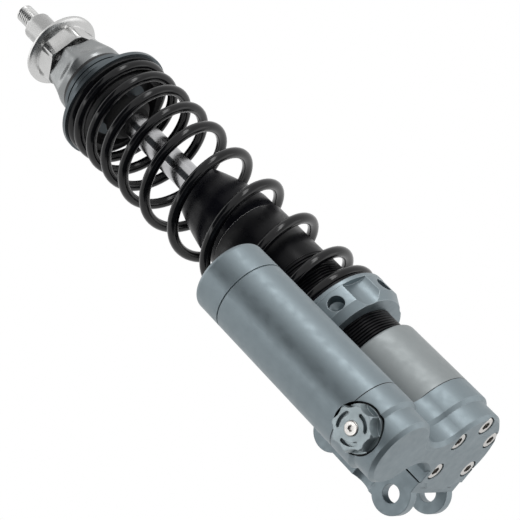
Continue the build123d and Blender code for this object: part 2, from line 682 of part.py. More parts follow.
def preload_collar():
    """The fluted ring that turns on the damper's thread and sets the spring's preload."""
    flute_top = COLLAR_TOP - COLLAR_LIP_T
    lobes = turned([(TUBE_CLEAR_R, COLLAR_BOTTOM), (COLLAR_BACK_R, COLLAR_BOTTOM), (COLLAR_R - 0.2, COLLAR_BOTTOM + COLLAR_BACK_H),
                    (COLLAR_R - 0.2, flute_top), (COLLAR_R, flute_top), (COLLAR_R, COLLAR_TOP - 0.6),
                    (COLLAR_R - 0.6, COLLAR_TOP), (TUBE_CLEAR_R, COLLAR_TOP)])
    flute = rod(FLUTE_R, COLLAR_BOTTOM, flute_top)
    flute = Pos(COLLAR_R + FLUTE_R - FLUTE_DEPTH, 0, 0) * flute
    for cut in around(flute, COLLAR_LOBES, 30):
        lobes -= cut
    hole_z = (COLLAR_BOTTOM + flute_top) / 2 + 1
    tip = COLLAR_R - SPANNER_HOLE_DEPTH
    drill = rod(SPANNER_HOLE_R, tip, COLLAR_R + 2)
    drill += turned([(0, tip - 1.6), (SPANNER_HOLE_R, tip), (SPANNER_HOLE_R, tip + 0.5), (0, tip + 0.5)])
    drill = Pos(0, 0, hole_z) * Rot(0, 90, 0) * drill
    for cut in around(drill, COLLAR_LOBES):
        lobes -= cut
    return lobes


def reservoir_tube():
    """The grey reservoir body, open at both ends, with its skirt cut away round the adjuster knob."""
    tube = ring(RESERVOIR_R, RESERVOIR_BORE_R, FACE_GAP, TUBE_LENGTH)
    tube -= rod(NECK_R + SEAT, 0, NECK_H + SEAT)
    tube -= ring(RESERVOIR_R + 1, RESERVOIR_R - CAP_GROOVE, TUBE_LENGTH - CAP_GROOVE_H, TUBE_LENGTH)
    tube = Pos(RESERVOIR_X, 0, 0) * tube
    return tube - along_x(rod(POCKET_R, POCKET_FLOOR_X, RESERVOIR_X + 2 * RESERVOIR_R))


def reservoir_cap():
    """The rounded end cap with its spigot, seal groove and valve recess."""
    cap = rod(RESERVOIR_R, CAP_BOTTOM, CAP_TOP)
    cap = fillet(cap.edges().sort_by(Axis.Z)[-1], CAP_EDGE)
    cap += rod(RESERVOIR_BORE_R - SEAT, CAP_BOTTOM - CAP_SPIGOT_H, CAP_BOTTOM)
    groove_z = CAP_BOTTOM - CAP_SPIGOT_H / 2
    groove_r = RESERVOIR_BORE_R - 2 * ORING_R - RUN
    cap -= ring(RESERVOIR_BORE_R, groove_r, groove_z - ORING_GROOVE_H / 2, groove_z + ORING_GROOVE_H / 2)
    cap -= rod(VALVE_RECESS_R, CAP_TOP - VALVE_RECESS_DEPTH, CAP_TOP)
    cap -= rod(VALVE_R + SEAT, CAP_BOTTOM - CAP_SPIGOT_H, CAP_TOP)
    return Pos(RESERVOIR_X, 0, 0) * cap


def gas_valve():
    """The gas charging valve in the middle of the cap."""
    top = CAP_TOP - VALVE_RECESS_DEPTH + VALVE_CAP_H - 1
    body = rod(VALVE_R, top - VALVE_H, top) - rod(VALVE_R / 3, top - VALVE_H, top)
    return Pos(RESERVOIR_X, 0, 0) * body


def gas_valve_cap():
    """The screw cap over the valve."""
    bottom = CAP_TOP - VALVE_RECESS_DEPTH
    top = bottom + VALVE_CAP_H
    cap = rod(VALVE_CAP_R, bottom, top) - rod(VALVE_R + SEAT, bottom, top - 1 + SEAT)
    return Pos(RESERVOIR_X, 0, 0) * cap


def floating_piston():
    """The piston that parts the oil from the gas."""
    body = rod(RESERVOIR_BORE_R - RUN, FLOAT_Z, FLOAT_Z + FLOAT_H)
    body -= rod(FLOAT_CUP_R, FLOAT_Z + FLOAT_H - FLOAT_CUP_DEPTH, FLOAT_Z + FLOAT_H)
    middle = FLOAT_Z + FLOAT_H / 2
    groove_r = RESERVOIR_BORE_R - 2 * ORING_R - 2 * RUN
    body -= ring(RESERVOIR_BORE_R, groove_r, middle - ORING_GROOVE_H / 2, middle + ORING_GROOVE_H / 2)
    return Pos(RESERVOIR_X, 0, 0) * body


def needle_seat():
    """The orifice plate at the inner end of the compression valve's bore."""
    return along_x(ring(VALVE_BORE_R - SEAT, NEEDLE_SEAT_HOLE_R, VALVE_BORE_X, NEEDLE_BODY_X))


def compression_needle():
    """The sliding needle that closes down the orifice."""
    back = GLAND_X - NEEDLE_TRAVEL - NEEDLE_GAP
    front = NEEDLE_BODY_X + NEEDLE_TRAVEL + NEEDLE_GAP
    stem = ring(VALVE_BORE_R - RUN, SPINDLE_R + 2 * RUN, back - NEEDLE_LAND_L, back)
    body = turned([(0, front - NEEDLE_NOSE_L), (NEEDLE_TIP_R, front - NEEDLE_NOSE_L), (NEEDLE_SEAT_HOLE_R - 0.2, front),
                   (NEEDLE_STEM_R, front), (NEEDLE_STEM_R, back), (0, back)])
    relief = rod(SPINDLE_R + 2 * RUN, back - NEEDLE_CUP_L, back)
    return along_x((body + stem) - relief)


def valve_gland():
    """The threaded gland that closes the valve's bore behind the knob."""
    gland = ring(VALVE_BORE_R - SEAT, SPINDLE_R + RUN, GLAND_X, POCKET_FLOOR_X)
    middle = GLAND_X + GLAND_L / 2
    groove_r = VALVE_BORE_R - 2 * ORING_R - RUN
    return along_x(gland - ring(VALVE_BORE_R, groove_r, middle - ORING_GROOVE_H / 2, middle + ORING_GROOVE_H / 2))


def compression_spindle():
    """The spindle that the compression knob is screwed to."""
    inner = GLAND_X - SPINDLE_TAIL
    outer = KNOB_FACE_X - KNOB_SCREW_H + KNOB_SCREW_PROUD
    return along_x(rod(SPINDLE_R, inner, outer))


def arc_slot():
    """One shallow curved slot in the face of the compression knob."""
    arc = CenterArc((0, 0), ARC_SLOT_R, -ARC_SLOT_SWEEP / 2, ARC_SLOT_SWEEP)
    band = SlotArc(arc, 2 * ARC_SLOT_HALF)
    return extrude(Pos(0, 0, KNOB_FACE_X - ARC_SLOT_DEPTH) * band, ARC_SLOT_DEPTH)


def compression_knob():
    """The faceted knob in the reservoir turret."""
    knob = rod(ADJUSTER_KNOB_R, KNOB_BACK_X, KNOB_FACE_X)
    rim = knob.edges().sort_by(Axis.Z)[-1]
    knob = chamfer(rim, 1.0)
    facet = rod(FACET_R, KNOB_BACK_X + 2, KNOB_FACE_X)
    facet = Pos(ADJUSTER_KNOB_R + FACET_R - FACET_DEPTH, 0, 0) * facet
    for cut in around(facet, ADJUSTER_FACETS):
        knob -= cut
    for cut in around(arc_slot(), ARC_SLOTS, 60):
        knob -= cut
    screw_seat = KNOB_FACE_X - KNOB_SCREW_H + KNOB_SCREW_PROUD
    knob -= rod(SPINDLE_R + SEAT, KNOB_BACK_X, screw_seat)
    knob -= rod(KNOB_SCREW_R + SEAT, screw_seat, KNOB_FACE_X)
    return along_x(knob)


def knob_screw():
    """The small socket screw in the middle of the compression knob."""
    seat = KNOB_FACE_X - KNOB_SCREW_H + KNOB_SCREW_PROUD
    top = KNOB_FACE_X + KNOB_SCREW_PROUD
    head = rod(KNOB_SCREW_R, seat, top)
    head = fillet(head.edges().sort_by(Axis.Z)[-1], 0.5)
    return along_x(head - hexagon(KNOB_SCREW_AF, top - KNOB_SCREW_H / 2, top))


PARTS = {
    "lower_housing": lower_housing,
    "housing_screws": housing_screws,
    "damper_sleeve": damper_sleeve,
    "damper_tube": damper_tube,
    "tube_foot": tube_foot,
    "seal_head": seal_head,
    "seal_head_oring": lambda: oring(TUBE_BORE_R, (HEAD_BOTTOM + TUBE_TOP) / 2),
    "rod_bush": rod_bush,
    "rod_seal": rod_seal,
    "dust_wiper": dust_wiper,
    "piston_rod": piston_rod,
    "compression_shims": lambda: shim_stack(PISTON_TOP, True),
    "rebound_shims": lambda: shim_stack(NUT_TOP, False),
    "damper_piston": damper_piston,
    "piston_band": piston_band,
    "piston_nut": lambda: nut(PISTON_NUT_AF, NUT_TOP - PISTON_NUT_H, PISTON_NUT_H, ROD_TAIL_R + SEAT),
    "topout_bumper": topout_bumper,
    "bump_stop": bump_stop,
    "seat_nut": lambda: nut(SEAT_NUT_AF, BUMP_STOP_BOTTOM + BUMP_STOP_H, SEAT_NUT_H, ROD_R + SEAT),
    "upper_spring_seat": upper_spring_seat,
    "spring_guide": spring_guide,
    "seat_washer": seat_washer,
    "rebound_knob": rebound_knob,
    "rebound_pin": rebound_pin,
    "rebound_needle": rebound_needle,
    "top_mount": top_mount,
    "spring": spring,
    "thrust_washer": thrust_washer,
    "preload_collar": preload_collar,
    "reservoir_tube": reservoir_tube,
    "reservoir_cap": reservoir_cap,
    "cap_oring": lambda: Pos(RESERVOIR_X, 0, 0) * oring(RESERVOIR_BORE_R, CAP_BOTTOM - CAP_SPIGOT_H / 2),
    "gas_valve": gas_valve,
    "gas_valve_cap": gas_valve_cap,
    "floating_piston": floating_piston,
    "floating_piston_oring": lambda: Pos(RESERVOIR_X, 0, 0) * oring(RESERVOIR_BORE_R - RUN + SEAT, FLOAT_Z + FLOAT_H / 2),
    "needle_seat": needle_seat,
    "compression_needle": compression_needle,
    "valve_gland": valve_gland,
    "gland_oring": lambda: along_x(oring(VALVE_BORE_R, GLAND_X + GLAND_L / 2)),
    "compression_spindle": compression_spindle,
    "compression_knob": compression_knob,
    "knob_screw": knob_screw,
}

os.makedirs("parts", exist_ok=True)
for part_name, make in PARTS.items():
    save(part_name, make())
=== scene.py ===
import math

import bmesh
import bpy
from mathutils import Matrix, Vector


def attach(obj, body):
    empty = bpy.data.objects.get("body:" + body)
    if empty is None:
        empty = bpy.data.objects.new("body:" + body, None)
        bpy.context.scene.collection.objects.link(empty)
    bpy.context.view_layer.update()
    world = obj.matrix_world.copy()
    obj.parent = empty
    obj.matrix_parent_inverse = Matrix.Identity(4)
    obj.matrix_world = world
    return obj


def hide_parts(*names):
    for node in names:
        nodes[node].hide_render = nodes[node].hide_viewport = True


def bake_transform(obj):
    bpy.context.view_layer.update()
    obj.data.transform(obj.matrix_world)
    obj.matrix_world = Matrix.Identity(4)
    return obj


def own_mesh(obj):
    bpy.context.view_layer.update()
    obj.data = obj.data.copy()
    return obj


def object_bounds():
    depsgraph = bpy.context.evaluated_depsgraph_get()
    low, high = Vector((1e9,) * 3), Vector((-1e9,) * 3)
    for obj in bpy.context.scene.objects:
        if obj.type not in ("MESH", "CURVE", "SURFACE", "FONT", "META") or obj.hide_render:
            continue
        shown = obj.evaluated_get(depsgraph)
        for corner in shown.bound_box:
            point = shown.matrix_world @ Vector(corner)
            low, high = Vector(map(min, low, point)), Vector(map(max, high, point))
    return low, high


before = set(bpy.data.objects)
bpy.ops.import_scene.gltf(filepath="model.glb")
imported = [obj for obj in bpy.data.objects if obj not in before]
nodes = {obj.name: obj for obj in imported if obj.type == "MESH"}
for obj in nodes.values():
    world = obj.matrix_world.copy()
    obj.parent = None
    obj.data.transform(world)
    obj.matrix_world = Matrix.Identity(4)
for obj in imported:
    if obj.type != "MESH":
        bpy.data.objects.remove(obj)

cad_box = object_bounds()

# Places in the damper's own frame, in millimetres, as the model's source gives them
AXIS_Y = 29.0
JOINT_Z = 15.8
RESERVOIR_X = 57.0
ADJUSTER_Z = -8.0
ADJUSTER_X = 70.2
POCKET_R = 11.0
TUBE_R = 21.7
LAND_R = 21.3
BORE_R = 18.0
TUBE_BOTTOM = -2.0
TUBE_TOP = 130.0
TUBE_CHAMFER = 0.8
TUBE_THREAD_BOTTOM = 34.0
TUBE_THREAD_TOP = 93.0
TUBE_THREAD_DEPTH = 0.75
TUBE_THREAD_END = 0.3
SPRING_R = 27.3
WIRE_R = 2.7
SPRING_BOTTOM = 67.6
SPRING_TOP = 241.0
COIL_PITCHES = (15.0, 27.5, 26.8, 25.6, 22.0, 15.6, 15.0, 11.4, 11.0)
END_TURNS = 0.75
END_PITCH = 2.2
COIL_BEARING = 107.8
SPLIT_TURN = 2.0
SPIGOT_TOP = 317.7
STUD_R = 5.0
STUD_TOP = 330.0
STUD_CUT = 0.4
STUD_ROOT = 1.0
STUD_ROOT_R = 4.4
STUD_CHAMFER = 1.0
STUD_THREAD_GAP = 0.1
STUD_THREAD_DEPTH = 0.62
AXIS_R = 0.02
TURRET_R = 24.5
RESERVOIR_R = 18.3
COVE_R = 15.0
COVE_ROOT = 3.0
COVE_STEPS = 28
COVE_LEVELS = ((-0.02, 0.0), (-11.25, 0.0), (-13.0, 1.8), (-21.5, 1.8), (-23.18, 3.48))
COLLAR_TURN = -28.0
KNOB_OUTLINE = ((19.4, 261.0), (20.4, 265.0), (20.1, 266.6), (17.0, 278.0), (16.0, 279.0))
KNOB_BORE = 7.05
GROOVE_R = 9.6
PIN_TOP = 272.7
PIN_FOOT = 267.3
SCOOP_COUNT = 6
SCOOP_BEARING = -5.0
SCOOP_SHARE = 0.88
SCOOP_DEPTH = 2.1
SCOOP_FOOT = 263.0
SCOOP_RUN = 6.0
LIP_LEFT = -14.65
LIP_RIGHT = 14.65
LIP_FRONT = -22.9
LIP_BACK = -19.3
LIP_TOP = -20.2
LIP_BOTTOM = -22.5
LIP_EDGE = 0.5

# Both threads have the same pitch and profile
THREAD_PITCH = 1.5
GROOVE_WIDTH = 1.5
GROOVE_FLANK = 5.0

# Fineness of the made meshes, and the angles in degrees above which their edges are sharp
MERGE_DISTANCE = 1e-6
ROWS_PER_PITCH = 10
TUBE_STEPS = 128
STUD_STEPS = 48
KNOB_STEPS = 180
KNOB_ROWS = 18
WIRE_STEPS = 60
WIRE_SIDES = 20
SLOPE_STEP = 0.01
SMOOTH_TURN = 0.45
SMOOTH_SAMPLES = 9
MOUNT_SHARP = 25.0
KNOB_SHARP = 30.0
PLAIN_SHARP = 35.0
WIRE_SHARP = 40.0
THREAD_SHARP = 50.0

# Scales of the surface patterns, and how far the rounded normal turns on a flat and on an edge
DRIFT_SCALE = 45.0
CLOUD_SCALE = 260.0
RING_SCALE = 1400.0
DUST_SCALE = 1500.0
BEVEL_SAMPLES = 4
EDGE_FLAT = 0.995
EDGE_SHARP = 0.86

# Painted shade on the wall of the adjuster's pocket, dark colours along the joint lines, and how dust
# lightens a colour
POCKET_SHADE_COLOUR = (0.006, 0.006, 0.007)
POCKET_EASE = 0.03
POCKET_BACK = 0.05
JOINT_COLOUR = (0.012, 0.013, 0.014)
DUST_GAIN = 2.2
DUST_LIFT = 0.02


def mm(value):
    """Millimetres as metres."""
    return value / 1000


def place(x, y, z):
    """A point of the damper's frame in the row frame, in metres."""
    return Vector((mm(x), mm(y + AXIS_Y), mm(z + JOINT_Z)))


# Materials

class Finish:
    """A node material that is built up from named steps."""

    def __init__(self, name):
        self.material = bpy.data.materials.new(name)
        self.material.use_nodes = True
        self.tree = self.material.node_tree
        self.tree.nodes.clear()
        self.out = self.node("ShaderNodeOutputMaterial")
        self.shader = self.node("ShaderNodeBsdfPrincipled")
        self.link(self.shader.outputs[0], self.out.inputs["Surface"])
        self.place = self.node("ShaderNodeTexCoord").outputs["Object"]

    def node(self, kind, **values):
        made = self.tree.nodes.new(kind)
        for key, value in values.items():
            setattr(made, key, value)
        return made

    def link(self, source, target):
        self.tree.links.new(source, target)

    def math(self, operation, first, second):
        """One sum of two values, each a number or a socket."""
        made = self.node("ShaderNodeMath", operation=operation)
        for slot, value in enumerate((first, second)):
            if isinstance(value, (int, float)):
                made.inputs[slot].default_value = value
            else:
                self.link(value, made.inputs[slot])
        return made.outputs[0]

    def noise(self, scale, detail=2.0, vector=None, roughness=0.5):
        """A soft random pattern, the same on every run."""
        made = self.node("ShaderNodeTexNoise")
        made.inputs["Scale"].default_value = scale
        made.inputs["Detail"].default_value = detail
        made.inputs["Roughness"].default_value = roughness
        self.link(vector or self.place, made.inputs["Vector"])
        return made.outputs[0]

    def span(self, value, low, high, to_low, to_high):
        """A value moved from one range to another and clamped."""
        made = self.node("ShaderNodeMapRange")
        self.link(value, made.inputs["Value"])
        limits = {"From Min": low, "From Max": high, "To Min": to_low, "To Max": to_high}
        for key, number in limits.items():
            made.inputs[key].default_value = number
        return made.outputs[0]

    def mix(self, factor, first, second):
        """Two colours mixed, each a tuple or a socket."""
        made = self.node("ShaderNodeMix", data_type="RGBA")
        self.link(factor, made.inputs[0])
        for slot, value in ((6, first), (7, second)):
            if isinstance(value, tuple):
                made.inputs[slot].default_value = (*value, 1.0)
            else:
                self.link(value, made.inputs[slot])
        return made.outputs[2]

    def along(self, axis):
        """The place along one axis, in metres."""
        parts = self.node("ShaderNodeSeparateXYZ")
        self.link(self.place, parts.inputs[0])
        return parts.outputs[axis]

    def distance(self, axis, centre):
        """Distance in metres from a line along an axis through a centre."""
        shift = self.node("ShaderNodeVectorMath", operation="SUBTRACT")
        self.link(self.place, shift.inputs[0])
        shift.inputs[1].default_value = centre
        flat = self.node("ShaderNodeVectorMath", operation="MULTIPLY")
        self.link(shift.outputs[0], flat.inputs[0])
        flat.inputs[1].default_value = [0.0 if i == axis else 1.0 for i in range(3)]
        length = self.node("ShaderNodeVectorMath", operation="LENGTH")
        self.link(flat.outputs[0], length.inputs[0])
        return length.outputs["Value"]

    def turned(self, axis, centre, scale):
        """Fine rings about an axis, as a lathe leaves them."""
        pair = self.node("ShaderNodeCombineXYZ")
        self.link(self.distance(axis, centre), pair.inputs[0])
        self.link(self.along(axis), pair.inputs[1])
        return self.noise(scale, 3.0, pair.outputs[0], 0.7)

    def edges(self, radius):
        """Rounded edge normals, and how much a point lies on an edge."""
        bevel = self.node("ShaderNodeBevel", samples=BEVEL_SAMPLES)
        bevel.inputs["Radius"].default_value = mm(radius)
        true = self.node("ShaderNodeNewGeometry")
        dot = self.node("ShaderNodeVectorMath", operation="DOT_PRODUCT")
        self.link(bevel.outputs[0], dot.inputs[0])
        self.link(true.outputs["Normal"], dot.inputs[1])
        return bevel.outputs[0], self.span(dot.outputs["Value"], EDGE_FLAT, EDGE_SHARP, 0.0, 1.0)

    def bump(self, height, depth, normal=None):
        """Normals for a relief of a depth in millimetres, on top of other normals."""
        made = self.node("ShaderNodeBump")
        made.inputs["Strength"].default_value = 1.0
        made.inputs["Distance"].default_value = mm(depth)
        self.link(height, made.inputs["Height"])
        if normal is not None:
            self.link(normal, made.inputs["Normal"])
        return made.outputs[0]


AXES = {
    "damper": (2, tuple(place(0, 0, 0))),
    "reservoir": (2, tuple(place(RESERVOIR_X, 0, 0))),
    "adjuster": (0, tuple(place(0, 0, ADJUSTER_Z))),
}


def finish(name, colour, roughness, metallic=0.0, grain=0.0, grain_size=0.25, rings=0.0, axis=None,
           vary=0.05, spread=0.06, edge=0.0, edge_colour=None, edge_mix=0.5, specular=0.5,
           pocket_shade=False, dust=0.0, seam=0.0):
    """A surface finish. Its colour and roughness drift by vary and spread. Grain and lathe rings are reliefs.
    Edges are rounded and painted lighter, partly as wear and partly as a painted highlight. The adjuster's
    pocket wall gets painted shade, and the joint line, up to seam, is dark."""
    made = Finish(name)
    shader = made.shader
    shader.inputs["Metallic"].default_value = metallic
    shader.inputs["Specular IOR Level"].default_value = specular
    drift = made.noise(DRIFT_SCALE, 4.0)
    dark = tuple(c * (1 - vary) for c in colour)
    light = tuple(min(1.0, c * (1 + vary)) for c in colour)
    tone = made.mix(made.span(drift, 0.35, 0.65, 0.0, 1.0), dark, light)
    cloud = made.noise(CLOUD_SCALE, 3.0)
    rough = made.span(cloud, 0.3, 0.7, roughness - spread, roughness + spread)
    normal = None
    # Edges are painted a lighter colour, partly as wear and partly as a painted highlight
    if edge:
        normal, wear_and_highlight = made.edges(edge)
        patchy = made.math("MULTIPLY", wear_and_highlight, made.span(cloud, 0.35, 0.6, edge_mix * 0.5, edge_mix))
        tone = made.mix(patchy, tone, edge_colour or light)
    if dust:
        speck = made.span(made.noise(DUST_SCALE), 0.62, 0.72, 0.0, dust)
        tone = made.mix(speck, tone, tuple(min(1.0, c * DUST_GAIN + DUST_LIFT) for c in colour))
    # Painted shade: the wall of the adjuster's pocket is painted near black where the recess lies in shadow
    if pocket_shade:
        radius = made.distance(*AXES["adjuster"])
        inside = made.math("LESS_THAN", radius, mm(POCKET_R + POCKET_EASE))
        beyond = made.math("GREATER_THAN", made.along(0), mm(ADJUSTER_X - POCKET_BACK))
        tone = made.mix(made.math("MULTIPLY", inside, beyond), tone, POCKET_SHADE_COLOUR)
    if seam:
        below = made.math("LESS_THAN", made.along(2), mm(JOINT_Z + seam))
        tone = made.mix(below, tone, JOINT_COLOUR)
    made.link(tone, shader.inputs["Base Color"])
    made.link(rough, shader.inputs["Roughness"])
    if grain:
        normal = made.bump(made.noise(1 / mm(grain_size)), grain, normal)
    if rings:
        normal = made.bump(made.turned(*AXES[axis], RING_SCALE), rings, normal)
    if normal is not None:
        made.link(normal, shader.inputs["Normal"])
    return made.material


GREY = (0.222, 0.266, 0.288)
WARM_GREY = (0.285, 0.308, 0.312)
# The lighter edge colour is partly wear and partly a painted highlight
GREY_WEAR_AND_HIGHLIGHT = (0.42, 0.48, 0.50)
finishes = {
    "housing": finish("grey_housing", GREY, 0.46, 0.72, grain=0.010, edge=0.55,
                      edge_colour=GREY_WEAR_AND_HIGHLIGHT, pocket_shade=True, vary=0.04),
    "cove": finish("grey_cove", GREY, 0.46, 0.72, grain=0.010, vary=0.04),
    "reservoir": finish("grey_reservoir", GREY, 0.46, 0.75, rings=0.006, axis="reservoir", edge=0.35,
                        edge_colour=GREY_WEAR_AND_HIGHLIGHT, pocket_shade=True, vary=0.03, seam=0.40),
    "sleeve": finish("grey_sleeve", WARM_GREY, 0.50, 0.65, rings=0.006, axis="damper", edge=0.35,
                     edge_colour=(0.46, 0.48, 0.48), vary=0.03, seam=0.30),
    "collar": finish("grey_collar", GREY, 0.40, 0.76, rings=0.005, axis="damper", edge=0.45,
                     edge_colour=(0.50, 0.56, 0.58), edge_mix=0.7),
    "seat": finish("grey_seat", (0.105, 0.122, 0.132), 0.34, 0.8, rings=0.006, axis="damper"),
    "knob": finish("grey_knob", (0.27, 0.28, 0.282), 0.30, 0.8, rings=0.006, axis="damper", edge=0.4,
                   edge_colour=(0.52, 0.53, 0.54), edge_mix=0.6),
    "dial": finish("grey_dial", (0.27, 0.315, 0.33), 0.34, 0.72, rings=0.006, axis="adjuster",
                   edge=0.4, edge_colour=(0.46, 0.50, 0.52), vary=0.04),
    "black": finish("black_anodised", (0.004, 0.004, 0.006), 0.28, rings=0.004, axis="damper",
                    edge=0.3, edge_colour=(0.03, 0.03, 0.034), specular=0.10, dust=0.12),
    "tube": finish("black_tube", (0.004, 0.004, 0.005), 0.32, rings=0.004, axis="damper",
                   specular=0.11, dust=0.12),
    "spring": finish("spring_black", (0.003, 0.003, 0.004), 0.15, grain=0.006, grain_size=1.4,
                     specular=0.30, dust=0.3),
    "zinc": finish("zinc_steel", (0.56, 0.56, 0.555), 0.27, 1.0, rings=0.002, axis="damper"),
    "screw": finish("screw_steel", (0.52, 0.505, 0.485), 0.28, 1.0, grain=0.01, edge=0.3,
                    edge_colour=(0.9, 0.88, 0.85)),
    "chrome": finish("hard_chrome", (0.46, 0.46, 0.47), 0.16, 1.0, rings=0.004, axis="damper",
                     vary=0.03, spread=0.03),
    "steel": finish("dark_steel", (0.11, 0.11, 0.115), 0.38, 0.9, rings=0.008, axis="damper",
                    edge=0.25, edge_colour=(0.25, 0.25, 0.25), vary=0.08),
    "bronze": finish("bronze", (0.42, 0.26, 0.11), 0.35, 1.0, rings=0.008, axis="damper", vary=0.06),
    "rubber": finish("seal_rubber", (0.016, 0.016, 0.016), 0.72, grain=0.02, grain_size=0.3,
                     specular=0.3, dust=0.35),
    "plastic": finish("black_plastic", (0.017, 0.017, 0.018), 0.45, grain=0.015, grain_size=0.35,
                      edge=0.3, edge_colour=(0.04, 0.04, 0.042), specular=0.45),
    "ptfe": finish("ptfe_band", (0.09, 0.085, 0.08), 0.55, grain=0.01, vary=0.1),
    "aluminium": finish("raw_aluminium", (0.66, 0.66, 0.66), 0.30, 1.0, rings=0.010, axis="damper",
                        vary=0.04),
}

dressed = {
    "housing": ["lower_housing"],
    "reservoir": ["reservoir_tube", "reservoir_cap"],
    "sleeve": ["damper_sleeve"],
    "collar": ["preload_collar"],
    "seat": ["upper_spring_seat"],
    "knob": ["rebound_knob"],
    "dial": ["compression_knob"],
    "black": ["seal_head", "gas_valve_cap", "thrust_washer"],
    "screw": ["housing_screws", "knob_screw"],
    "chrome": ["piston_rod"],
    "steel": ["piston_nut", "rebound_shims", "compression_shims", "rebound_pin", "rebound_needle",
              "needle_seat", "compression_needle", "compression_spindle"],
    "bronze": ["rod_bush", "gas_valve"],
    "rubber": ["bump_stop", "topout_bumper", "dust_wiper", "rod_seal", "seal_head_oring", "cap_oring",
               "gland_oring", "floating_piston_oring"],
    "plastic": ["spring_guide", "seat_washer", "seat_nut"],
    "ptfe": ["piston_band"],
    "aluminium": ["tube_foot", "damper_piston", "floating_piston", "valve_gland"],
}
for key, members in dressed.items():
    for name in members:
        data = nodes[name].data
        data.materials.clear()
        data.materials.append(finishes[key])


# Pieces made here

def joined(name, data):
    """An object in the scene for a mesh, a camera or a lamp."""
    made = bpy.data.objects.new(name, data)
    bpy.context.scene.collection.objects.link(made)
    return made


def piece(name, points, faces, materials, sharp=PLAIN_SHARP):
    """A mesh object from points in the damper's frame, smooth apart from its sharp edges."""
    data = bpy.data.meshes.new(name)
    data.from_pydata([place(*p) for p in points], [], [f[0] for f in faces])
    for polygon, face in zip(data.polygons, faces):
        polygon.material_index = face[1]
        polygon.use_smooth = True
    data.update()
    made = joined(name, data)
    for material in materials:
        data.materials.append(material)
    shell = bmesh.new()
    shell.from_mesh(data)
    bmesh.ops.recalc_face_normals(shell, faces=shell.faces)
    shell.to_mesh(data)
    shell.free()
    data.set_sharp_from_angle(angle=math.radians(sharp))
    return made


def lathe(profile, steps):
    """Points and faces of a closed profile about Z. Each row is a radius or a function of the angle that
    gives it, then a height and a material slot."""
    points, faces = [], []
    for radius, height, _ in profile:
        for i in range(steps):
            angle = 2 * math.pi * i / steps
            r = radius(angle) if callable(radius) else radius
            points.append((r * math.cos(angle), r * math.sin(angle), height))
    rows = len(profile)
    for j in range(rows):
        slot = profile[j][2]
        for i in range(steps):
            a, b = j * steps + i, j * steps + (i + 1) % steps
            k = (j + 1) % rows
            c, d = k * steps + (i + 1) % steps, k * steps + i
            faces.append(((a, b, c, d), slot))
    return points, faces


def thread_radius(height, crest, bottom, top, depth):
    """The radius of a right-hand screw thread at a height, as a function of angle."""
    def at(angle):
        phase = (height / THREAD_PITCH - angle / (2 * math.pi)) % 1.0
        groove = max(0.0, min(1.0, GROOVE_WIDTH - abs(phase - 0.5) * GROOVE_FLANK))
        fade = max(0.0, min(1.0, (height - bottom) / THREAD_PITCH, (top - height) / THREAD_PITCH))
        return crest - depth * groove * fade
    return at


def threaded_rows(crest, bottom, top, depth):
    """Profile rows for a threaded length."""
    count = int(round((top - bottom) / THREAD_PITCH * ROWS_PER_PITCH))
    rows = []
    for i in range(count + 1):
        height = bottom + (top - bottom) * i / count
        rows.append((thread_radius(height, crest, bottom, top, depth), height, 0))
    return rows


def threaded_tube():
    """The black damper tube with its real thread, plain land and bright chamfered rim."""
    rows = [(BORE_R, TUBE_BOTTOM, 0), (TUBE_R, TUBE_BOTTOM, 0)]
    rows += threaded_rows(TUBE_R, TUBE_THREAD_BOTTOM, TUBE_THREAD_TOP, TUBE_THREAD_DEPTH)
    rows += [(LAND_R, TUBE_THREAD_TOP + TUBE_THREAD_END, 0), (LAND_R, TUBE_TOP - TUBE_CHAMFER, 1),
             (LAND_R - TUBE_CHAMFER, TUBE_TOP, 1), (BORE_R, TUBE_TOP, 0)]
    points, faces = lathe(rows, TUBE_STEPS)
    made = piece("threaded_tube", points, faces, [finishes["tube"], finishes["aluminium"]],
                 THREAD_SHARP)
    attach(made, "housing")
    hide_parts("damper_tube")


def mount_with_thread():
    """The top mount with its stud cut off and a threaded one in its place."""
    shell = bmesh.new()
    shell.from_mesh(nodes["top_mount"].data)
    bmesh.ops.remove_doubles(shell, verts=shell.verts, dist=MERGE_DISTANCE)
    cut = bmesh.ops.bisect_plane(shell, geom=shell.verts[:] + shell.edges[:] + shell.faces[:],
                                 plane_co=place(0, 0, SPIGOT_TOP + STUD_CUT), plane_no=(0, 0, 1),
                                 clear_outer=True)
    rim = [e for e in cut["geom_cut"] if isinstance(e, bmesh.types.BMEdge)]
    bmesh.ops.contextual_create(shell, geom=rim)
    data = bpy.data.meshes.new("mount_top")
    shell.to_mesh(data)
    shell.free()
    for polygon in data.polygons:
        polygon.use_smooth = True
        polygon.material_index = 0
    data.materials.clear()
    data.materials.append(finishes["zinc"])
    data.set_sharp_from_angle(angle=math.radians(MOUNT_SHARP))
    made = joined("mount_top", data)
    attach(made, "rod")
    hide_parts("top_mount")
    foot = SPIGOT_TOP - STUD_ROOT
    rows = [(AXIS_R, foot, 0), (STUD_ROOT_R, foot, 0)]
    rows += threaded_rows(STUD_R, SPIGOT_TOP + STUD_THREAD_GAP, STUD_TOP - STUD_CHAMFER,
                          STUD_THREAD_DEPTH)
    rows += [(STUD_R - STUD_CHAMFER, STUD_TOP, 0), (AXIS_R, STUD_TOP, 0)]
    points, faces = lathe(rows, STUD_STEPS)
    stud = piece("mount_stud_thread", points, faces, [finishes["zinc"]], THREAD_SHARP)
    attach(stud, "rod")


def coil_height(turn):
    """Height of the wire's centre after a number of turns from the first open coil."""
    start = SPRING_BOTTOM + END_TURNS * END_PITCH + WIRE_R / 3
    if turn < 0:
        return start + turn * END_PITCH
    height = start
    for i, pitch in enumerate(COIL_PITCHES):
        height += pitch * min(max(turn - i, 0), 1)
    return height + END_PITCH * max(turn - len(COIL_PITCHES), 0)


